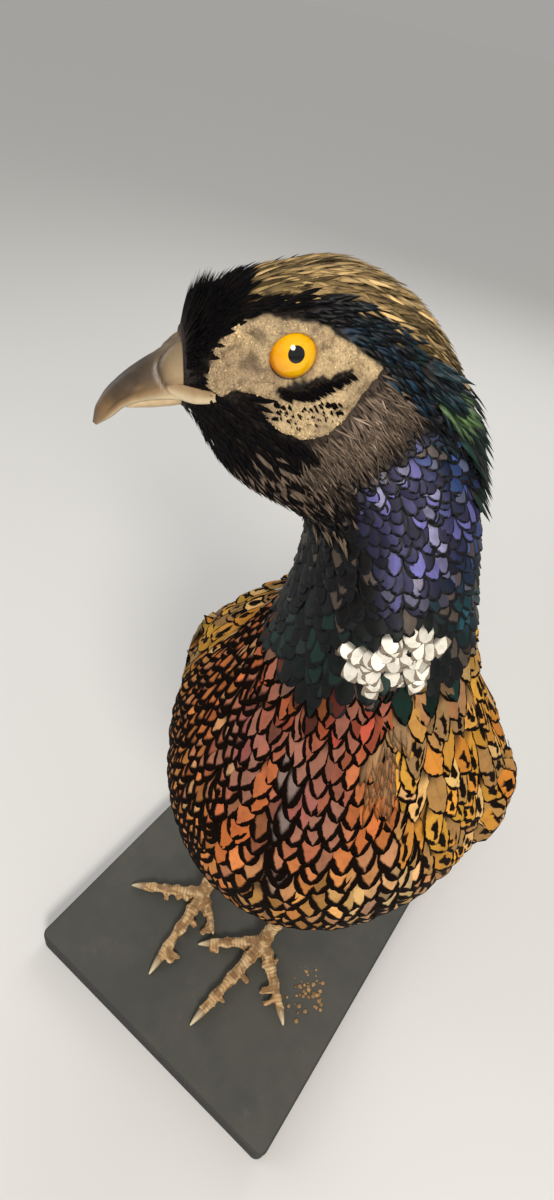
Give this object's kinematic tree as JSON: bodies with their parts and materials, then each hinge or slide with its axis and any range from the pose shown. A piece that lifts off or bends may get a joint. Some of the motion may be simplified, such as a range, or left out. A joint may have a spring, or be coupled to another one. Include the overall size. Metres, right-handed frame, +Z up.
{
  "type": "taxidermy pheasant",
  "caption": "Mounted cock pheasant standing on a flat slab, head turned to its right, long tail held low behind.",
  "frame": {"origin": "on the slab's underside, midway between the two feet", "axes": "+Z up, -Y the way the bird faces, +X the bird's left"},
  "size_m": [0.2276, 0.703, 0.431],
  "materials": {
    "body_feathers": "small overlapping contour feathers, copper with black edges",
    "neck_feathers": "glossy scale-like feathers, violet, blue and green sheen",
    "head_feathers": "fine short feathers, olive brown crown and dark throat",
    "wing_feathers": "barred flight feathers and mottled coverts",
    "tail_feathers": "long pointed feathers, buff with black bars",
    "face_skin": "faded dry wattle skin, granular, dark speckles",
    "leg_skin": "dry scaled leg skin, matt",
    "horn": "horn, semi-gloss",
    "eye_glass": "glass eye, yellow iris with black pupil, polished",
    "slab_paint": "slate grey paint on board, worn and smudged"
  },
  "bodies": {
    "root": {"base_slab": "slab_paint", "trunk": "body_feathers", "rump": "body_feathers", "neck": "neck_feathers", "head": "head_feathers", "bill_upper": "horn", "bill_lower": "horn", "tail_central": "tail_feathers", "eye_l": "eye_glass", "ear_tuft_l": "neck_feathers", "wing_l": "wing_feathers", "flight_feathers_l": "wing_feathers", "tail_l": "tail_feathers", "thigh_l": "body_feathers", "shank_l": "leg_skin", "spur_l": "horn", "foot_l": "leg_skin", "claw_l_inner": "horn", "claw_l_middle": "horn", "claw_l_outer": "horn", "claw_l_hind": "horn", "eye_r": "eye_glass", "ear_tuft_r": "neck_feathers", "wing_r": "wing_feathers", "flight_feathers_r": "wing_feathers", "tail_r": "tail_feathers", "thigh_r": "body_feathers", "shank_r": "leg_skin", "spur_r": "horn", "foot_r": "leg_skin", "claw_r_inner": "horn", "claw_r_middle": "horn", "claw_r_outer": "horn", "claw_r_hind": "horn"}
  },
  "joints": []
}
